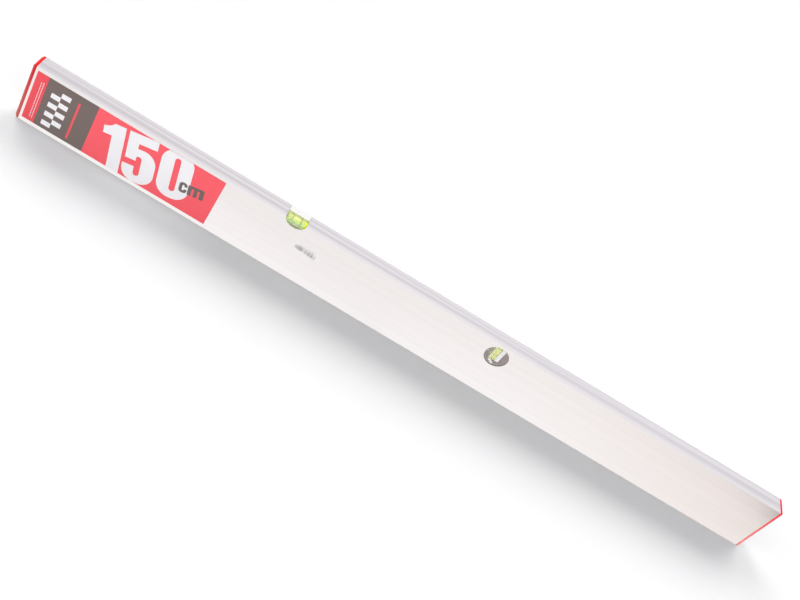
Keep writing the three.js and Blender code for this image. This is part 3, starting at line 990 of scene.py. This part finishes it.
# The radii of a line, and what is added to each side of it
RING_OUTER, RING_INNER, LINE = 4.9, 4.3, 0.6


def rounded_rod(name, start, end, radius, rounding, segments):
    """A rod with rounded ends."""
    made = rod(name, start, end, radius)
    length = (Vector(end) - Vector(start)).normalized()
    bevel_edges(made, lambda at, way: abs(way.dot(length)) < 0.1, rounding, segments)
    return made


def ring(name, start, end, outer, inner):
    """A rod with a smaller one taken out."""
    made = rod(name, start, end, outer)
    past = 2 * (end - start).normalized()
    boolean(made, rod("cutter", start - past, end + past, inner), "DIFFERENCE")
    return made


def vial(prefix, axis, ring_names, block_stuff, liquid_stuff):
    """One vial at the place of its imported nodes. axis is the way from its blind end to its
    plug."""
    axis = Vector(axis)

    def on_axis(node_name):
        """The two ends of a node along the vial, on that node's own middle line."""
        low, high = corners(node_name)
        middle = (low + high) / 2
        reach = (high - low).dot(axis) / 2 * axis
        return middle - reach, middle + reach

    blind, plug = on_axis(prefix + "_vial")
    made = block(prefix + "_block", *corners(prefix + "_vial"))
    bevel_edges(made, lambda at, way: abs(way.dot(axis)) > 0.9, CORNER, 4)
    boolean(made, rod("cutter", blind + BLIND * axis, plug + 5 * axis, BORE), "DIFFERENCE")
    dress(made, block_stuff, "vial_acrylic", "root", prefix + "_vial")
    stopper = rounded_rod(prefix + "_stopper", plug - PLUG * axis, plug, BORE - PLAY, 0.3, 3)
    dress(stopper, bright_acrylic, "vial_acrylic", "root", prefix + "_plug")
    liquid = rounded_rod(
        prefix + "_liquid", blind + (BLIND - WET) * axis, plug - (PLUG + GAP) * axis,
        BORE + WET, 0.2, 2)
    dress(liquid, liquid_stuff, "vial_spirit", "root", prefix + "_spirit")
    for name in ring_names:
        start, end = on_axis(prefix + "_ring_" + name)
        line = ring(
            prefix + "_line_" + name, start - LINE * axis, end + LINE * axis,
            RING_OUTER, RING_INNER)
        dress(line, ring_green, "vial_ring", "root", prefix + "_ring_" + name)
    air = rounded_rod(
        prefix + "_air", *on_axis(prefix + "_bubble"), BUBBLE, BUBBLE - 0.01, 8)
    dress(air, painted_bright_bubble, "vial_bubble", prefix + "_bubble", prefix + "_bubble")


# %% Level vial
vial("level", (1, 0, 0), ("left", "right"), acrylic, spirit)

# %% [markdown]
# Its carrier is a white moulding that fills the rest of the round cut, flush with the top
# and the back, and reaches under the vial as a shelf.

# %% Level carrier
low, high = corners("level_vial")
SHELF = 13.0
carrier = rod(
    "level_holder", (LEVEL_X, high.y - SHELF, LEVEL_Z), (LEVEL_X, DEEP, LEVEL_Z),
    LEVEL_R - FIT, WINDOW_SIDES)
cut_off(carrier, high, (0, 0, 1))
vial_space = block("cutter", (low.x - 5, -DEEP, low.z), (high.x + 5, high.y, high.z + 5))
boolean(carrier, vial_space, "DIFFERENCE")
dress(carrier, carrier_white, "carrier_plastic", "root", "level_carrier")

# %% [markdown]
# ## The plumb vial
#
# It is the same kind of vial, standing across the bar, so the same function makes it. In the
# photograph its front is yellower than the first one's, so it has its own two stuffs. Its
# carrier has a plate behind the block, a cheek at its right side, a short ledge under it, a
# lip over each side of its front, and two ribs that stand on the web.

# %% Plumb vial
vial("plumb", (0, 0, 1), ("lower", "upper"), yellower_acrylic, yellower_spirit)

# %% Plumb carrier
low, high = corners("plumb_vial")
# The front of the lips and the ledge, the right side, and the ribs' lower end
LIP, RIGHT, FOOT = low.y - 0.6, high.x + 3.6, low.z - 4
LEDGE_SLANT = -33  # degrees
holder = block("plumb_holder", (low.x, high.y, low.z - 2), (RIGHT, high.y + 3, high.z))
ledge = block(
    "ledge", (low.x + 1.2, LIP, low.z - 7.4), (low.x + 13.2, high.y + 2.5, low.z - 3.4))
edit(ledge, "FACE", "SELECT")
bpy.ops.transform.rotate(
    value=math.radians(LEDGE_SLANT), orient_axis="Y",
    center_override=metres(low.x + 7.2, 0, low.z - 5.2))
bpy.ops.object.mode_set(mode="OBJECT")
boolean(holder, ledge, "UNION")
for name, start, end in (
        ("cheek", (high.x, LIP + 0.1, low.z), (RIGHT, high.y + 2.5, high.z)),
        ("right_lip", (high.x - 3.4, LIP, low.z), (RIGHT, low.y, high.z)),
        ("left_lip", (low.x, LIP, low.z - 0.5), (low.x + 1.7, low.y, high.z))):
    boolean(holder, block(name, start, end), "UNION")
# The ribs' thickness and their back, and where their legs stand
RIB, BACK, WEB_TOP = 2.0, DEEP - WALL - FIT, TALL / 2 + WALL / 2 + FIT
for left in (low.x + 8, RIGHT - RIB):
    for name, front, foot in (("rib", high.y + 1.5, FOOT), ("leg", high.y + 7, WEB_TOP)):
        piece = block(name, (left, front, foot), (left + RIB, BACK, high.z))
        boolean(holder, piece, "UNION")
dress(holder, carrier_white, "carrier_plastic", "root", "plumb_carrier")

# %% [markdown]
# ## Last steps
#
# The view transform is set to Standard, so that a colour shows as it is written.

# %% Finish
bpy.context.scene.view_settings.view_transform = "Standard"
deselect()
